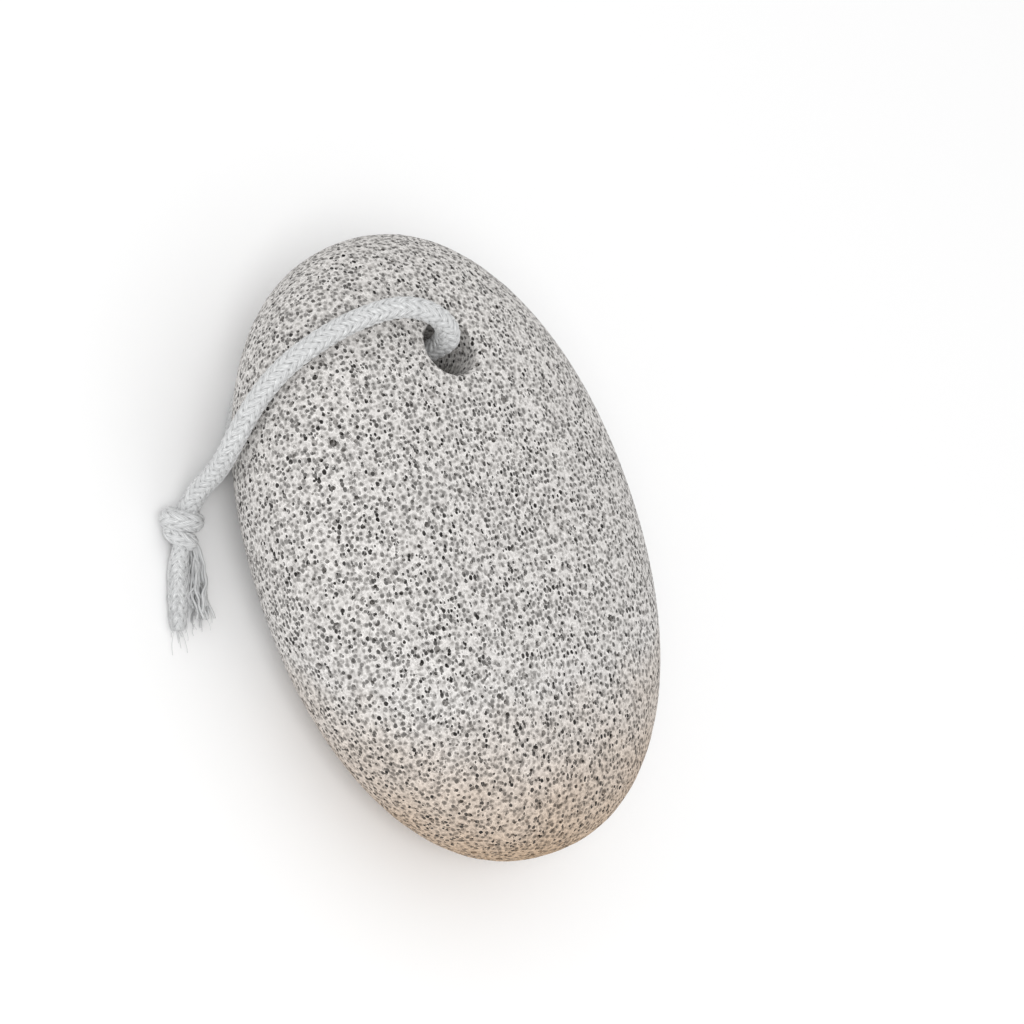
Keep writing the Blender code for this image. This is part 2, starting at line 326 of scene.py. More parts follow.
def add_fibres(bm, line, count, rng):
    """Add single fibres that have worked loose from a tail and lift off its surface."""
    across, upward = side_directions(line)
    ahead = (line[-1, :3] - line[-4, :3]) / np.linalg.norm(line[-1, :3] - line[-4, :3])
    for _ in range(count):
        first = rng.randrange(len(line) // 8, len(line) - 3)
        turn, spin = rng.uniform(0, math.tau), rng.uniform(-FIBRE_SPIN, FIBRE_SPIN)
        lift, stride = rng.uniform(*FIBRE_LIFT), rng.randint(*FIBRE_STRIDE)
        rows = []
        for k in range(FIBRE_POINTS):
            share = k / (FIBRE_POINTS - 1)
            i = first + k * stride
            past = max(0, i - len(line) + 1) * STEP
            i = min(i, len(line) - 1)
            a = turn + spin * share
            out = line[i, 3] - FIBRE_ROOT + lift * math.sin(FIBRE_DROOP * math.pi * share)
            side = across[i] * math.cos(a) + upward[i] * math.sin(a)
            p = line[i, :3] + out * side + ahead * past
            p[2] = max(p[2], FIBRE_LOWEST)
            rows.append(p)
        yarn_tube(bm, np.array(rows), FIBRE_RADIUS, sides=4)


# %% Clean tail
TAIL_PLAIN = (                      # in mm: x, y, z and the radius there
    (-36.6, 14.3, 3.4, 1.20), (-37.2, 12.2, 2.5, 1.45), (-38.1, 10.1, 1.8, 1.60),
    (-39.2, 7.3, 1.7, 1.62), (-40.4, 4.4, 1.6, 1.50), (-41.5, 1.0, 1.4, 1.20),
)
PLAIN_RELIEF, PLAIN_PICK, PLAIN_AROUND = 0.14 * MM, 1.9 * MM, 64     # slacker than the loop
PLAIN_FIBRES = 70

plain_route = smooth_route(np.array(TAIL_PLAIN) * MM, STEP)
plain_bm = bmesh.new()
braided_tube(plain_bm, plain_route, plain_route[:, 3], PLAIN_RELIEF, PLAIN_PICK, PLAIN_AROUND)
add_fibres(plain_bm, plain_route, PLAIN_FIBRES, random.Random(FIBRE_SEED))
tail_plain = cord_piece("clean_cut_tail", plain_bm)
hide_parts("tail_plain")

# %% Frayed tail
TAIL_FRAYED = (                     # in mm: x, y, z and how far the yarns spread there
    (-35.6, 14.3, 3.4, 0.6), (-34.8, 12.2, 2.5, 0.9), (-35.1, 10.2, 1.9, 1.1),
    (-35.8, 7.4, 1.8, 1.25), (-36.6, 4.2, 1.8, 1.45), (-37.4, 0.5, 1.8, 1.4),
)
YARN_COUNT, YARN_RADIUS = 24, 0.2 * MM
YARN_LOWEST = YARN_RADIUS + 0.05 * MM       # so that it stays above the table
YARN_POINTS_APART, YARN_STEP = 0.9 * MM, 0.25 * MM
YARN_TURN, YARN_STRAY = 0.382, 0.04 # turns from one yarn to the next: an even spread
YARN_LENGTH = (0.72, 1.0)           # as a share of the tail's
YARN_SWING = (0.3, 0.6)             # how far it waves, in mm and in radians round the tail
YARN_PACE = (1.1, 2.0)              # radians of its wave from point to point
YARN_BOW = (0.6, 1.5)               # how far every fourth yarn bows out, in mm
BOW_ENDS = 1.15                     # the bow is over before the end, at 1 / 1.15 of the tail
YARN_TWIST = 1.1                    # radians round the tail from knot to end
SPREAD_AT_KNOT, SPREAD_GROWS = 0.75, 0.5
SWING_TURNS = 9                     # radians of its swing round the tail, from knot to end
FRAYED_FIBRES = 40
FRAY_SEED = 5


def frayed_yarns():
    """A route for each yarn of the frayed tail."""
    rng = random.Random(FRAY_SEED)
    middle = smooth_route(np.array(TAIL_FRAYED) * MM, YARN_POINTS_APART)
    across, upward = side_directions(middle)
    routes = []
    for k in range(YARN_COUNT):
        turn = math.tau * (k * YARN_TURN + rng.uniform(-YARN_STRAY, YARN_STRAY))
        out = math.sqrt((k + 0.5) / YARN_COUNT)
        reach = rng.uniform(*YARN_LENGTH)
        wander, rows = rng.uniform(0, 3), []
        swing, pace = rng.uniform(*YARN_SWING), rng.uniform(*YARN_PACE)
        bow = rng.uniform(*YARN_BOW) if k % 4 == 0 else 0
        for i in range(max(5, round(reach * len(middle)))):
            share = i / (len(middle) - 1)
            a = turn + YARN_TWIST * share + swing * math.sin(wander + share * SWING_TURNS)
            r = middle[i, 3] * out * (SPREAD_AT_KNOT + SPREAD_GROWS * share)
            wave = swing * share * math.sin(pace * i + wander) * MM
            bulge = bow * math.sin(math.pi * min(1, share * BOW_ENDS)) * MM
            p = (middle[i, :3] + across[i] * (r * math.cos(a) + wave)
                 + upward[i] * r * math.sin(a) + np.array(VIEW_RIGHT) * bulge)
            p[2] = max(p[2], YARN_LOWEST)
            rows.append(p)
        routes.append(smooth_route(rows, YARN_STEP))
    return routes


frayed_bm = bmesh.new()
for route in frayed_yarns():
    yarn_tube(frayed_bm, route, YARN_RADIUS)
frayed_middle = smooth_route(np.array(TAIL_FRAYED) * MM, STEP)
add_fibres(frayed_bm, frayed_middle, FRAYED_FIBRES, random.Random(FIBRE_SEED + 1))
tail_frayed = cord_piece("frayed_tail", frayed_bm)
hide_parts("tail_frayed")

# %% [markdown]
# ## The cord
# These four pieces are one limp cord. Here only its thickness is printed.

print("cord declared, %.1f mm thick" % (CORD_DIAMETER / MM))

# %% [markdown]
# ## The stone's form
# The stone is an oval in plan with domed faces and full round sides. The same form in CAD is
# coarse, so it is made again here in facets of about 2 mm: a cube cut into a grid, then drawn
# in to a rounded form whose two powers set how full the oval and the side are.

# %% Blank stone
LENGTH, WIDTH, THICKNESS = 100 * MM, 67 * MM, 36.5 * MM
PLAN_POWER, EDGE_POWER = 2.1, 2.5   # 2 would be an ellipse; a little more is fuller
REST_TILT = math.radians(2)
FLAT_DEPTH = 0.40 * MM              # how much of the underside is rubbed flat
UNDERSIDE_STEPS = 720
GRID = (27, 40, 15)                 # facets across, along and up the stone
HALF = Vector((WIDTH / 2, LENGTH / 2, THICKNESS / 2))


def plan_size(x, y):
    """How far out x, y lies in plan, from 0 in the middle to 1 at the rim."""
    return abs(x / HALF.x) ** PLAN_POWER + abs(y / HALF.y) ** PLAN_POWER


def stone_size(p):
    """How far out p lies, from 0 at the stone's middle to 1 on its surface."""
    plan = plan_size(p[0], p[1]) ** (EDGE_POWER / PLAN_POWER)
    return (plan + abs(p[2] / HALF.z) ** EDGE_POWER) ** (1 / EDGE_POWER)


def face_height(x, y):
    """Height of the upper face above the middle plane at x, y."""
    return HALF.z * (1 - plan_size(x, y) ** (EDGE_POWER / PLAN_POWER)) ** (1 / EDGE_POWER)


def stone_lift():
    """The matrix that lays the stone from its own middle onto the table."""
    turn = Matrix.Rotation(REST_TILT, 4, "X")
    underside = [HALF.y * math.cos(math.pi / UNDERSIDE_STEPS * k)
                 for k in range(1, UNDERSIDE_STEPS)]
    lowest = min((turn @ Vector((0, y, -face_height(0, y)))).z for y in underside)
    return Matrix.Translation((0, 0, -lowest - FLAT_DEPTH)) @ turn


LIFT = stone_lift()


def stone_blank():
    """The whole oval: a box cut into a grid, then drawn in to the rounded form."""
    bm = bmesh.new()
    bmesh.ops.create_cube(bm, size=2)
    for axis, count in enumerate(GRID):
        normal = [0, 0, 0]
        normal[axis] = 1
        for k in range(1, count):
            point = [value * (2 * k / count - 1) for value in normal]
            bmesh.ops.bisect_plane(bm, geom=bm.verts[:] + bm.edges[:] + bm.faces[:],
                                   plane_co=point, plane_no=normal)
    for v in bm.verts:
        spread = Vector(math.tan(c * math.pi / 4) for c in v.co)
        out = Vector(spread[i] * HALF[i] for i in range(3))
        v.co = out / stone_size(out)
    return bm


def loose_object(name, bm, place=LIFT):
    """A mesh to cut or to cut with, laid where the stone lies."""
    bmesh.ops.transform(bm, matrix=place, verts=bm.verts)
    bmesh.ops.recalc_face_normals(bm, faces=bm.faces)
    bmesh.ops.triangulate(bm, faces=bm.faces)
    mesh = bpy.data.meshes.new(name)
    bm.to_mesh(mesh)
    bm.free()
    ob = bpy.data.objects.new(name, mesh)
    bpy.context.scene.collection.objects.link(ob)
    return ob


def take_out(target, cutter):
    """Cut one closed mesh out of another for good, and drop the cutter."""
    mod = target.modifiers.new("cut", "BOOLEAN")
    mod.operation, mod.solver, mod.object = "DIFFERENCE", "MANIFOLD", cutter
    bpy.context.view_layer.update()
    shaped = target.evaluated_get(bpy.context.evaluated_depsgraph_get())
    mesh = bpy.data.meshes.new_from_object(shaped)
    target.modifiers.clear()
    target.data = mesh
    bpy.data.objects.remove(cutter)


stone = loose_object("pumice_stone", stone_blank())
print("blank stone: %d faces" % len(stone.data.polygons))

# %% [markdown]
# ## The hole
# The hole is drilled, and its two rims are rubbed round by the cord. A bevel on the rim would
# meet the domed face unevenly, so the cutter itself flares at both mouths, in rings that
# follow the dome.

# %% Hole and flat
HOLE_RADIUS = 4.6 * MM
HOLE_Y = LENGTH / 2 - 21.9 * MM
HOLE_SIDES = 64
TOP_ROUNDING, UNDER_ROUNDING = 0.9 * MM, 3.2 * MM
MOUTH_DEGREES = (0, 12, 25, 37, 50, 61, 72)         # the rings round a rim's rounding
MOUTH_FLARE, CUTTER_PAST = 0.3 * MM, 3 * MM         # out beyond the rim, and past the face
BORE_RINGS = 12
TABLE_BLOCK = 20 * MM


def ring_edges(bm, radius, height):
    """One ring of the hole's cutter; height(x, y) gives each point's z."""
    ring = bmesh.ops.create_circle(bm, segments=HOLE_SIDES, radius=radius)["verts"]
    for v in ring:
        v.co.y += HOLE_Y
        v.co.z = height(v.co.x, v.co.y)
    return list({e for v in ring for e in v.link_edges})


def hole_cutter():
    """The hole as a solid, its mouths flared to round the rims along the domed faces."""
    bm = bmesh.new()
    rings = []
    for side, rounding in ((-1, UNDER_ROUNDING), (1, TOP_ROUNDING)):
        mouth = []
        for degrees in MOUTH_DEGREES:
            angle = math.radians(degrees)
            radius = HOLE_RADIUS + rounding * (1 - math.cos(angle))
            depth = rounding * (1 - math.sin(angle))
            mouth.append((radius, lambda x, y, d=depth, s=side: s * (face_height(x, y) - d)))
        mouth.append((mouth[-1][0] + MOUTH_FLARE,
                      lambda x, y, s=side: s * (face_height(x, y) + CUTTER_PAST)))
        rings += mouth[::-1] if side < 0 else mouth
    middle = len(rings) // 2
    low, high = rings[middle - 1][1], rings[middle][1]
    bore = [(HOLE_RADIUS, lambda x, y, k=k: low(x, y) + (high(x, y) - low(x, y)) * k / BORE_RINGS)
            for k in range(1, BORE_RINGS)]
    rings[middle:middle] = bore
    loops = [ring_edges(bm, radius, height) for radius, height in rings]
    for lower, upper in zip(loops, loops[1:]):
        bmesh.ops.bridge_loops(bm, edges=lower + upper)
    for end in (loops[0], loops[-1]):
        bmesh.ops.contextual_create(bm, geom=end)
    return bm


def below_table():
    """A block under the table, which rubs the resting flat."""
    bm = bmesh.new()
    bmesh.ops.create_cube(bm, size=1, matrix=Matrix.Translation((0, 0, -TABLE_BLOCK / 2))
                          @ Matrix.Diagonal((WIDTH, LENGTH, TABLE_BLOCK, 1)))
    return bm


take_out(stone, loose_object("hole", hole_cutter()))
take_out(stone, loose_object("table", below_table(), Matrix.Identity(4)))
skin = bmesh.new()
skin.from_mesh(stone.data)
bmesh.ops.triangulate(skin, faces=skin.faces)
skin_tree = BVHTree.FromBMesh(skin)
print("bored stone: %d faces" % len(skin.faces))

# %% [markdown]
# ## The broken bubbles
# Pumice is glass foam, so its cut surface is bubbles, sliced open at every depth. A texture
# can draw them, but the eye catches flat dots at once, so those from about 0.6 mm across are
# real hollows. Each is an uneven little ball. The Boolean solver needs balls that don't touch,
# so a wall of foam is kept between them as they are scattered. Whatever still touched its
# neighbour would wait for a second round. With this wall, one round takes them all.

# %% Scatter the bubbles
LARGE_COUNT = 112                   # the pits that the CAD stone has, in the same places
LARGE_RADIUS = (0.80 * MM, 1.50 * MM)
LARGE_SHARE = 0.48                  # how much of the CAD pit's radius is open here
LARGE_SKEW, SMALL_SKEW = 2.2, 1.8   # the powers that make the smaller sizes more common
LARGE_SINK = (-0.1, 0.25)           # how far a pit's middle lies above the skin, in radii
FLAT_MARGIN, PIT_SPACING = 0.5 * MM, 1 * MM
MEDIUM_COUNT, MEDIUM_RADIUS = 230, (0.46 * MM, 0.64 * MM)
SMALL_COUNT, SMALL_RADIUS = 3700, (0.29 * MM, 0.44 * MM)
SMALL_SINK = (-0.45, 0.35)
PIT_SEED = 11
WALL, NESTLE = 0.55 * MM, 0.9       # two bubbles keep WALL and this share of their radii apart
SEARCH_CELL = 3 * MM                # the grid in which neighbours are looked up


def large_bubbles():
    """Middle and radius of each large pit, as in the CAD stone, in the frame."""
    rng = random.Random(PIT_SEED)
    pits = []
    while len(pits) < LARGE_COUNT:
        way = Vector((rng.gauss(0, 1), rng.gauss(0, 1), rng.gauss(0, 1))).normalized()
        crowding = Vector(way[i] / HALF[i] for i in range(3)).length * HALF.z
        radius = LARGE_RADIUS[0] + (LARGE_RADIUS[1] - LARGE_RADIUS[0]) * rng.random() ** LARGE_SKEW
        keep = rng.random() < crowding
        out = Vector(way[i] * HALF[i] for i in range(3))
        centre = out / stone_size(out) * (1 + rng.uniform(*LARGE_SINK) * radius / HALF.z)
        by_hole = math.hypot(centre.x, centre.y - HOLE_Y) < HOLE_RADIUS + UNDER_ROUNDING + radius
        by_flat = (LIFT @ centre).z < radius + FLAT_MARGIN
        crowded = any((centre - c).length < radius + r + PIT_SPACING for c, r in pits)
        if keep and not (by_hole or by_flat or crowded):
            pits.append((centre, radius))
    return [(LIFT @ c, r * LARGE_SHARE) for c, r in pits]


taken = {}


def cells_near(spot, cell):
    """The cell of a grid that holds the spot, and a list of that cell and those round it."""
    key = tuple(math.floor(c / cell) for c in spot)
    return key, [(key[0] + i, key[1] + j, key[2] + k)
                 for i, j, k in itertools.product((-1, 0, 1), repeat=3)]


def has_room(spot, radius):
    """Whether a bubble here keeps its wall to the others; if so, its place is taken."""
    key, near = cells_near(spot, SEARCH_CELL)
    for n in near:
        for other, size in taken.get(n, ()):
            if (spot - other).length < NESTLE * (radius + size) + WALL:
                return False
    taken.setdefault(key, []).append((spot, radius))
    return True


def scattered_bubbles(count, radii, rng):
    """Bubbles spread evenly by area over the bored stone, opened at different depths."""
    faces = skin.faces[:]
    area = np.cumsum([f.calc_area() for f in faces])
    found = []
    while len(found) < count:
        face = faces[int(np.searchsorted(area, rng.random() * area[-1]))]
        a, b = sorted((rng.random(), rng.random()))
        p, q, r = (v.co for v in face.verts)
        spot = p * a + q * (b - a) + r * (1 - b)
        radius = radii[0] + (radii[1] - radii[0]) * rng.random() ** SMALL_SKEW
        if has_room(spot, radius):
            found.append((spot + face.normal * radius * rng.uniform(*SMALL_SINK), radius))
    return found


rng = random.Random(PIT_SEED + 5)
large = large_bubbles()
for spot, radius in large:
    has_room(spot, radius)
bubbles = (large + scattered_bubbles(MEDIUM_COUNT, MEDIUM_RADIUS, rng)
           + scattered_bubbles(SMALL_COUNT, SMALL_RADIUS, rng))
print("bubbles:", len(bubbles))


# %% Cut the bubbles
STRETCH = 1.35                      # the most that a bubble is drawn out
SQUASH, SIDE_STRETCH = 0.8, 1.1     # the least, and the most across that
DENT = 0.88                         # how far in a point of its wall may lie, in radii
BATCH = 60


def rounds_of(found):
    """Sort the bubbles into rounds in which no two touch."""
    cell = 2 * STRETCH * LARGE_RADIUS[1]
    rounds = []
    for centre, radius in found:
        key, near = cells_near(centre, cell)
        for cells in rounds:
            close = [b for n in near for b in cells.get(n, ())]
            if all((centre - c).length > STRETCH * (radius + r) for c, r in close):
                cells.setdefault(key, []).append((centre, radius))
                break
        else:
            rounds.append({key: [(centre, radius)]})
    return [[b for group in cells.values() for b in group] for cells in rounds]


def bubble_batch(group, rng):
    """A few bubbles, each turned, stretched and made uneven, as a mesh."""
    bm = bmesh.new()
    for centre, radius in group:
        turn = Matrix.Rotation(rng.uniform(0, math.tau), 4,
                               (rng.uniform(-1, 1), rng.uniform(-1, 1), rng.uniform(-1, 1) + 0.01))
        stretch = Matrix.Diagonal((rng.uniform(SQUASH, STRETCH),
                                   rng.uniform(SQUASH, SIDE_STRETCH), 1, 1))
        fine = 2 if radius > MEDIUM_RADIUS[0] else 1
        made = bmesh.ops.create_icosphere(bm, subdivisions=fine, radius=radius,
                                          matrix=Matrix.Translation(centre) @ turn @ stretch)
        for v in made["verts"]:
            v.co = centre + (v.co - centre) * rng.uniform(DENT, 1.0)
    mesh = bpy.data.meshes.new("batch")
    bm.to_mesh(mesh)
    bm.free()
    return mesh


def bubble_cutter(group, rng):
    """One round of bubbles. They are made in small batches, because each new ball makes
    the operator go over all that its bmesh already holds."""
    bm = bmesh.new()
    for start in range(0, len(group), BATCH):
        batch = bubble_batch(group[start:start + BATCH], rng)
        bm.from_mesh(batch)
        bpy.data.meshes.remove(batch)
    return bm


rounds = rounds_of(bubbles)
for number, group in enumerate(rounds):
    cutter = loose_object("bubbles", bubble_cutter(group, rng), Matrix.Identity(4))
    take_out(stone, cutter)
    stone.data.calc_loop_triangles()
    print("round %d: %d bubbles, the stone has %d triangles"
          % (number + 1, len(group), len(stone.data.loop_triangles)))

# %% [markdown]
# ## Painted shade in the bubbles
# A bubble's floor is darker than the skin: less light gets in, and dust stays. The renderer
# finds part of that shade by itself. The rest is painted: mostly painted shade, and some dust,
# from an attribute that says, for each vertex, how far down its bubble it lies, times how dark
# that bubble is.

# %% Depth attribute
SKIN = 0.01 * MM                    # what lies deeper than this is in a bubble
FLOOR_AT = 0.7                      # how deep its floor counts as reached, in radii
# How strong the painted shade in the floors of large and of small bubbles is.
LARGE_FLOOR_SHADE, SMALL_FLOOR_SHADE = (0.4, 0.85), (0.4, 1.0)    # from the palest floor to the darkest
SHARP_EDGE = math.radians(38)       # a bubble's rim is sharp, and its inside is smooth


def note_depth(ob):
    """Store how deep in a bubble each vertex lies, 0 on the skin and 1 at a dark floor, as
    painted shade for the material.
    """
    rng = random.Random(PIT_SEED + 9)
    tree = KDTree(len(bubbles))
    for i, (centre, _) in enumerate(bubbles):
        tree.insert(centre, i)
    tree.balance()
    tone = [rng.uniform(*(LARGE_FLOOR_SHADE if radius > MEDIUM_RADIUS[0] else SMALL_FLOOR_SHADE))
            for _, radius in bubbles]
    values = []
    for v in ob.data.vertices:
        *_, depth = skin_tree.find_nearest(v.co)
        value = 0
        if depth > SKIN:
            _, i, _ = tree.find(v.co)
            value = min(1, depth / (FLOOR_AT * bubbles[i][1])) * tone[i]
        values.append(value)
    layer = ob.data.attributes.new("pit_shade", "FLOAT", "POINT")
    layer.data.foreach_set("value", values)
    print("vertices in hollows: %d of %d" % (sum(x > 0 for x in values), len(values)))


note_depth(stone)
stone.data.shade_smooth()
stone.data.set_sharp_from_angle(angle=SHARP_EDGE)
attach(stone, "root")
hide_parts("stone")

# %% [markdown]
# ## Making a material
# Materials are small graphs of nodes. One helper adds a node, sets its values and links what
# feeds it, so that each material below reads as a list of steps. Colours are written as the
# hex values that a paint program shows, and are turned to the linear light that the renderer
# counts in.

# %% Material helpers
def linear(code, alpha=1.0):
    """An sRGB hex colour as linear light."""
    parts = [int(code[i:i + 2], 16) / 255 for i in (1, 3, 5)]
    return (*(c / 12.92 if c <= 0.04045 else ((c + 0.055) / 1.055) ** 2.4 for c in parts), alpha)


def add_node(tree, kind, settings, *values, **named):
    """Add a node. Settings are its own properties. Values go to its inputs in order, and named
    ones by name. Where a value is a node, its first output is linked."""
    node = tree.nodes.new("ShaderNode" + kind)
    for key, value in settings.items():
        setattr(node, key, value)
    by_name = [(key.replace("_", " "), value) for key, value in named.items()]
    for key, value in [*enumerate(values), *by_name]:
        if isinstance(value, bpy.types.Node):
            value = value.outputs[0]
        if isinstance(value, bpy.types.NodeSocket):
            tree.links.new(value, node.inputs[key])
        else:
            node.inputs[key].default_value = value
    return node


def new_material(name):
    """An empty material, its tree and its Principled shader."""
    mat = bpy.data.materials.new(name)
    mat.use_nodes = True
    return mat, mat.node_tree, mat.node_tree.nodes["Principled BSDF"]


# %% [markdown]
# ## Pumice
# Pumice is volcanic glass, blown to foam by gas and then tumbled. Glass has an index of
# refraction of 1.5, but the broken surface scatters everything, so roughness is near 1 and
# nothing glints. Its grey is nearly neutral. Towards one end and low down, an ochre tint is
# painted in: painted warm light, bounced up from below. What is too small to cut is drawn:
# pinholes of 0.4 to 0.8 mm, dark with painted shade and with pale rims, the cells and grain of
# the foam, and the floors of the cut bubbles, dark with painted shade. Pinholes could be painted
# on the skin alone. Here each belongs to a point in space: it is drawn round and flat on the
# skin where its point lies near enough, so it isn't smeared on slopes, and it fades where the
# point lies deeper.

# %% Pinholes
UNEVEN = (1.2, 0.85, 1.0)           # bubbles aren't quite round
PIN_EDGE, PIN_RIM = 0.13 * MM, 0.07 * MM    # a pinhole's soft edge, and the pale rim round it
RIM_START = 0.8                     # how far out the rim's middle lies, in rim widths
SLAB, SLAB_EDGE = 0.3, 0.06 * MM    # how near the skin a bubble has to lie, as a share of its
                                    # cell, and how softly that ends
PIN_TONE, TONE_POWER = (0.15, 1.0), 1.15    # from the palest pinhole to the darkest


def sliced_bubbles(tree, place, facing, cell, least, most, shut):
    """Pinholes where bubbles lie near the skin, dark with painted shade. Takes a cell's size and
    the least and most radius, in mm, and the share of them that stay palest. Gives how much
    painted shade each place has, the pale rims round the darker ones, and the distance to the
    nearest middle, in cells."""
    spots = add_node(tree, "TexVoronoi", {"feature": "F1"}, Vector=place,
                     Scale=1 / (cell * MM), Randomness=0.8).outputs
    own = add_node(tree, "SeparateColor", {}, spots["Color"]).outputs
    apart = add_node(tree, "VectorMath", {"operation": "SUBTRACT"}, place, spots["Position"])
    offset = add_node(tree, "VectorMath", {"operation": "MULTIPLY"}, apart, UNEVEN)
    height = add_node(tree, "VectorMath", {"operation": "DOT_PRODUCT"},
                      offset, facing).outputs["Value"]
    distance = add_node(tree, "VectorMath", {"operation": "LENGTH"}, offset).outputs["Value"]
    distance_squared = add_node(tree, "Math", {"operation": "MULTIPLY"}, distance, distance)
    height_squared = add_node(tree, "Math", {"operation": "MULTIPLY"}, height, height)
    across_squared = add_node(tree, "Math", {"operation": "SUBTRACT"},
                              distance_squared, height_squared)
    across = add_node(tree, "Math", {"operation": "SQRT"}, across_squared)
    radius = add_node(tree, "Math", {"operation": "MULTIPLY_ADD"},
                      own["Green"], (most - least) * MM, least * MM)
    gap = add_node(tree, "Math", {"operation": "SUBTRACT"}, across, radius)
    inside = add_node(tree, "Math", {"operation": "MULTIPLY", "use_clamp": True},
                      gap, -1 / PIN_EDGE)
    from_skin = add_node(tree, "Math", {"operation": "ABSOLUTE"}, height)
    reach = add_node(tree, "Math", {"operation": "MULTIPLY_ADD", "use_clamp": True},
                     from_skin, -1 / SLAB_EDGE, SLAB * cell * MM / SLAB_EDGE)
    share = add_node(tree, "MapRange", {}, own["Red"], From_Min=shut, From_Max=0.95,
                     To_Min=PIN_TONE[0], To_Max=PIN_TONE[1])
    strength = add_node(tree, "Math", {"operation": "POWER"}, share, TONE_POWER)
    tone = add_node(tree, "Math", {"operation": "MULTIPLY"}, reach, strength)
    dark = add_node(tree, "Math", {"operation": "MULTIPLY"}, inside, tone)
    outward = add_node(tree, "Math", {"operation": "MULTIPLY_ADD"}, gap, 1 / PIN_RIM, -RIM_START)
    off_rim = add_node(tree, "Math", {"operation": "ABSOLUTE"}, outward)
    rim = add_node(tree, "Math", {"operation": "SUBTRACT", "use_clamp": True}, 1.0, off_rim)
    rim_tone = add_node(tree, "Math", {"operation": "POWER"}, tone, 0.5)
    pale = add_node(tree, "Math", {"operation": "MULTIPLY"}, rim, rim_tone)
    return dark, pale, spots["Distance"]


# %% Pumice material
STRAY, STRAY_SIZE = 0.36 * MM, 0.55 * MM    # how far an outline strays, and over what length
PATCH_SIZE = 9 * MM                 # patches with more and with fewer pinholes
GRAIN_SIZE = 0.5 * MM               # the real walls, 0.01 to 0.1 mm, are too fine to show
GRAIN_SHARE, FOAM_SHARE = 0.26, 0.56
# Painted warm bounce light: an ochre tint, strongest low down at the end without a hole.
WARM_BOUNCE_FROM, WARM_BOUNCE_FULL = 8 * MM, -32 * MM   # along the stone, towards the end without a hole
WARM_BOUNCE_SLANT, WARM_BOUNCE_RAGGED = 0.8, 14 * MM
PIN_DEPTH = 0.24 * MM


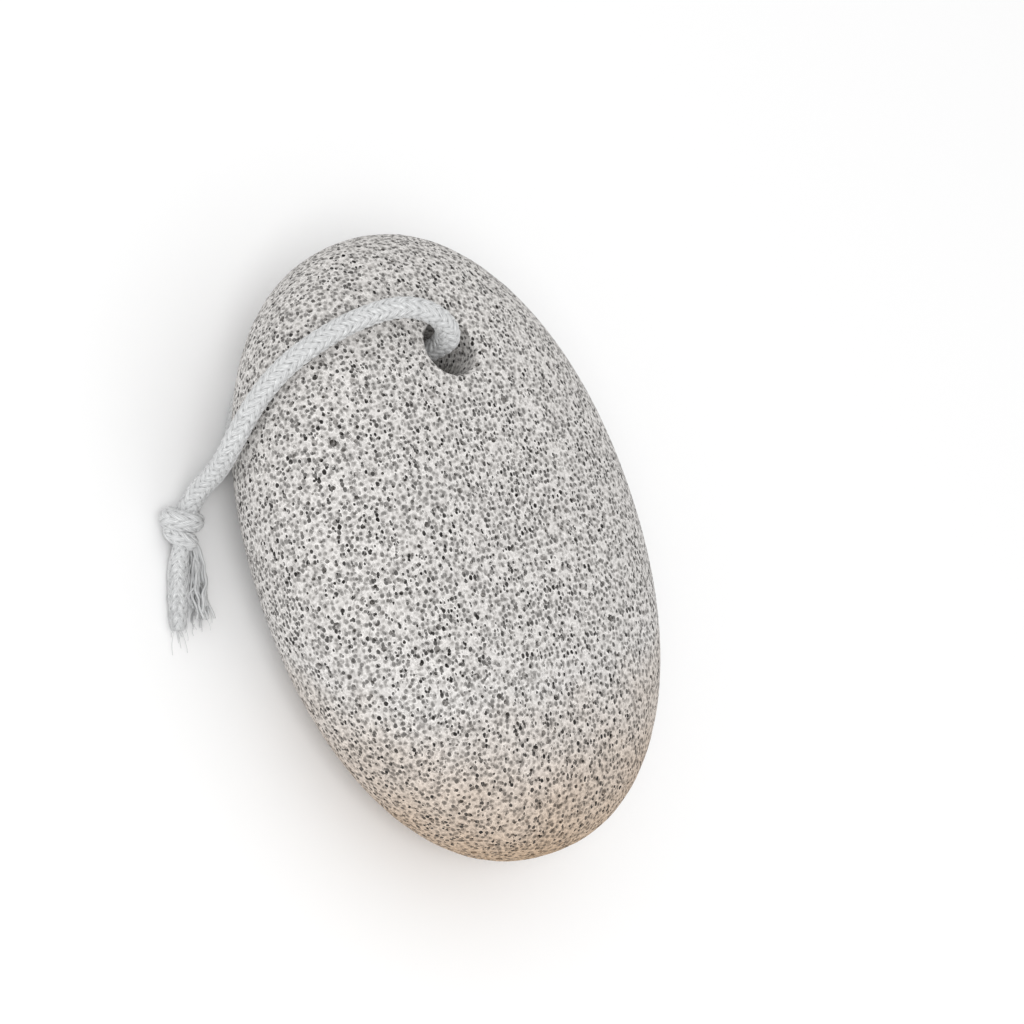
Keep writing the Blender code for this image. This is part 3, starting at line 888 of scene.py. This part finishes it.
def pumice_material():
    """Tumbled pumice: matt pale grey foam, with pinholes and darker hollows in painted shade,
    and painted warm bounce light towards one end.
    """
    mat, tree, shader = new_material("tumbled pumice")
    own_space = add_node(tree, "TexCoord", {}).outputs
    object_space, facing = own_space["Object"], own_space["Normal"]
    waver = add_node(tree, "TexNoise", {}, Vector=object_space, Scale=1 / STRAY_SIZE)
    place = add_node(tree, "VectorMath", {"operation": "MULTIPLY_ADD"},
                     waver.outputs["Color"], (STRAY,) * 3, object_space)
    patch = add_node(tree, "TexNoise", {}, Vector=object_space, Scale=1 / PATCH_SIZE, Detail=2.0)
    open_share = add_node(tree, "MapRange", {}, patch, From_Min=0.32, From_Max=0.46, To_Min=0.5)
    coarse = sliced_bubbles(tree, place, facing, cell=0.84, least=0.22, most=0.4, shut=0.42)
    fine = sliced_bubbles(tree, place, facing, cell=0.66, least=0.2, most=0.3, shut=0.68)
    darker = add_node(tree, "Math", {"operation": "MAXIMUM"}, coarse[0], fine[0])
    holes = add_node(tree, "Math", {"operation": "MULTIPLY"}, darker, open_share)
    paler = add_node(tree, "Math", {"operation": "MAXIMUM"}, coarse[1], fine[1])
    rims = add_node(tree, "Math", {"operation": "MULTIPLY"}, paler, open_share)

    # The skin between the pinholes: grain and foam cells, from grey to nearly white.
    grain = add_node(tree, "TexNoise", {}, Vector=object_space, Scale=1 / GRAIN_SIZE,
                     Detail=1.0, Roughness=0.5)
    grains = add_node(tree, "MapRange", {}, grain, From_Min=0.28, From_Max=0.72)
    foam = add_node(tree, "MapRange", {}, coarse[2], From_Min=0.25, From_Max=0.65)
    cells = add_node(tree, "Math", {"operation": "MULTIPLY"}, foam, FOAM_SHARE)
    ground = add_node(tree, "Math", {"operation": "MULTIPLY_ADD"}, grains, GRAIN_SHARE, cells)
    pale = add_node(tree, "Math", {"operation": "ADD", "use_clamp": True}, rims, ground)
    skin_colour = add_node(tree, "ValToRGB", {}, pale)
    ramp = skin_colour.color_ramp
    ramp.elements[0].position, ramp.elements[0].color = 0.05, linear("#787674")
    ramp.elements[1].position, ramp.elements[1].color = 0.95, linear("#F0EDEA")
    ramp.elements.new(0.4).color = linear("#A3A09D")

    # Painted warm bounce light at one end: an ochre tint, stronger low down, with a ragged border.
    away = add_node(tree, "SeparateXYZ", {}, object_space).outputs
    off_end = add_node(tree, "Math", {"operation": "MULTIPLY_ADD"},
                       away["Z"], WARM_BOUNCE_SLANT, away["Y"])
    ragged = add_node(tree, "Math", {"operation": "MULTIPLY_ADD"}, patch, WARM_BOUNCE_RAGGED, off_end)
    near_end = add_node(tree, "MapRange", {}, ragged, From_Min=WARM_BOUNCE_FROM,
                        From_Max=WARM_BOUNCE_FULL, To_Max=0.9)
    warm_bounce_tinted = add_node(tree, "Mix", {"data_type": "RGBA", "blend_type": "MULTIPLY"},
                       Factor=near_end, A=skin_colour, B=linear("#E3C098"))

    # Painted shade: the dark of the cut bubbles' floors, with some dust, and of the pinholes.
    pit_shade = add_node(tree, "Attribute", {"attribute_name": "pit_shade"}).outputs["Fac"]
    broken = add_node(tree, "Math", {"operation": "MULTIPLY_ADD"}, grains, -0.7, 1.3)
    uneven = add_node(tree, "Math", {"operation": "MULTIPLY", "use_clamp": True}, pit_shade, broken)
    floors = add_node(tree, "Mix", {"data_type": "RGBA"}, Factor=uneven,
                      A=warm_bounce_tinted.outputs["Result"], B=linear("#443F3A"))
    # Painted shade in the pinholes: nearly black where they lie.
    holed = add_node(tree, "Mix", {"data_type": "RGBA"}, Factor=holes,
                     A=floors.outputs["Result"], B=linear("#1B1816"))
    tree.links.new(holed.outputs["Result"], shader.inputs["Base Color"])
    raised = add_node(tree, "Math", {"operation": "MULTIPLY"}, pale, 0.35)
    height = add_node(tree, "Math", {"operation": "SUBTRACT"}, raised, holes)
    bump = add_node(tree, "Bump", {}, Height=height, Distance=PIN_DEPTH, Strength=0.9)
    tree.links.new(bump.outputs["Normal"], shader.inputs["Normal"])
    shader.inputs["Roughness"].default_value = 0.95
    shader.inputs["IOR"].default_value = 1.5
    return mat


stone.data.materials.clear()
stone.data.materials.append(pumice_material())
print("pumice: %d nodes" % len(stone.data.materials[0].node_tree.nodes))

# %% [markdown]
# ## Cord
# The cord is spun polyester, braided and left white. Polyester has an index of refraction of
# about 1.57, and the filaments give a soft sheen and no sharp highlight. Each yarn is drawn
# as fine lines along itself, from the attribute that says where on its yarn a point lies. A
# filament is about 0.02 mm thick, too fine to show, so the lines are tufts of them.
# The grooves between the yarns are darkened with painted shade, from the attribute that says how
# deep in a groove a point lies.

# %% Cord material
TUFTS_ACROSS = 7.0                  # in half a yarn's 1.33 mm: a tuft is about 0.1 mm wide
TUFTS_ALONG = 1.2                   # in each mm of cord
TUFT_DEPTH = 0.05 * MM


def cord_material():
    """White spun polyester: soft, slightly sheeny, with filaments along each yarn and painted
    shade in the grooves.
    """
    mat, tree, shader = new_material("white spun polyester")
    fibre = add_node(tree, "Attribute", {"attribute_name": "fibre"}).outputs["Vector"]
    groove = add_node(tree, "Attribute", {"attribute_name": "groove"}).outputs["Fac"]
    drawn = add_node(tree, "Mapping", {}, Vector=fibre, Scale=(TUFTS_ACROSS, TUFTS_ALONG, 1.0))
    threads = add_node(tree, "TexNoise", {}, Vector=drawn, Scale=1.0, Detail=2.0)
    shade = add_node(tree, "MapRange", {}, threads, From_Min=0.3, From_Max=0.7)
    tone = add_node(tree, "Mix", {"data_type": "RGBA"}, Factor=shade,
                    A=linear("#9A9B9C"), B=linear("#ECEDED"))
    # Painted shade in the grooves between the yarns, towards #585959.
    deep = add_node(tree, "MapRange", {}, groove, From_Min=0.2, From_Max=0.58)
    final = add_node(tree, "Mix", {"data_type": "RGBA"}, Factor=deep,
                     A=tone.outputs["Result"], B=linear("#585959"))
    tree.links.new(final.outputs["Result"], shader.inputs["Base Color"])
    bump = add_node(tree, "Bump", {}, Height=threads, Distance=TUFT_DEPTH, Strength=0.6)
    tree.links.new(bump.outputs["Normal"], shader.inputs["Normal"])
    shader.inputs["Roughness"].default_value = 0.6
    shader.inputs["IOR"].default_value = 1.57
    shader.inputs["Sheen Weight"].default_value = 0.15
    return mat


polyester = cord_material()
for piece in (cord_loop, knot, tail_plain, tail_frayed):
    piece.data.materials.append(polyester)
print("cord: %d nodes" % len(polyester.node_tree.nodes))

# %% [markdown]
# ## Table and light
# The table is a plain pale sheet of matt board. The light is a studio's: a white dome that
# fills every shadow, and one soft lamp close beside the camera that gives the form. A lamp
# alone would show more relief, but the pits would turn black.

# %% Table
TABLE_REACH = 1.5                   # metres from the middle to each side


def board_material():
    """Matt white board: it only catches the shadow."""
    mat, _, shader = new_material("matt white board")
    shader.inputs["Base Color"].default_value = linear("#F7F7F7")
    shader.inputs["Roughness"].default_value = 0.9
    return mat


table_bm = bmesh.new()
bmesh.ops.create_grid(table_bm, x_segments=1, y_segments=1, size=TABLE_REACH)
table_mesh = bpy.data.meshes.new("table")
table_bm.to_mesh(table_mesh)
table_bm.free()
table_mesh.materials.append(board_material())
table = bpy.data.objects.new("table", table_mesh)
bpy.context.scene.collection.objects.link(table)
print("table: %.0f m wide" % (2 * TABLE_REACH))

# %% Lights
LAMP_PLACE, LAMP_SIZE = Vector((-0.45, -0.15, 0.70)), 0.35      # in metres
LAMP_WATTS, DOME_STRENGTH = 2.3, 0.88

lamp = bpy.data.lights.new("key", "AREA")
lamp.size, lamp.energy, lamp.color = LAMP_SIZE, LAMP_WATTS, linear("#FFFFFF")[:3]
key_lamp = bpy.data.objects.new("key", lamp)
towards = (LAMP_PLACE - STONE_MIDDLE).to_track_quat("Z", "Y").to_matrix().to_4x4()
key_lamp.matrix_world = Matrix.Translation(LAMP_PLACE) @ towards
bpy.context.scene.collection.objects.link(key_lamp)
world = bpy.data.worlds.new("studio")
world.use_nodes = True
dome = world.node_tree.nodes["Background"].inputs
dome["Color"].default_value = linear("#FFFFFF")
dome["Strength"].default_value = DOME_STRENGTH
bpy.context.scene.world = world
bpy.context.scene.view_settings.view_transform = "Standard"
print("lamp %.2f m from the stone" % (LAMP_PLACE - STONE_MIDDLE).length)
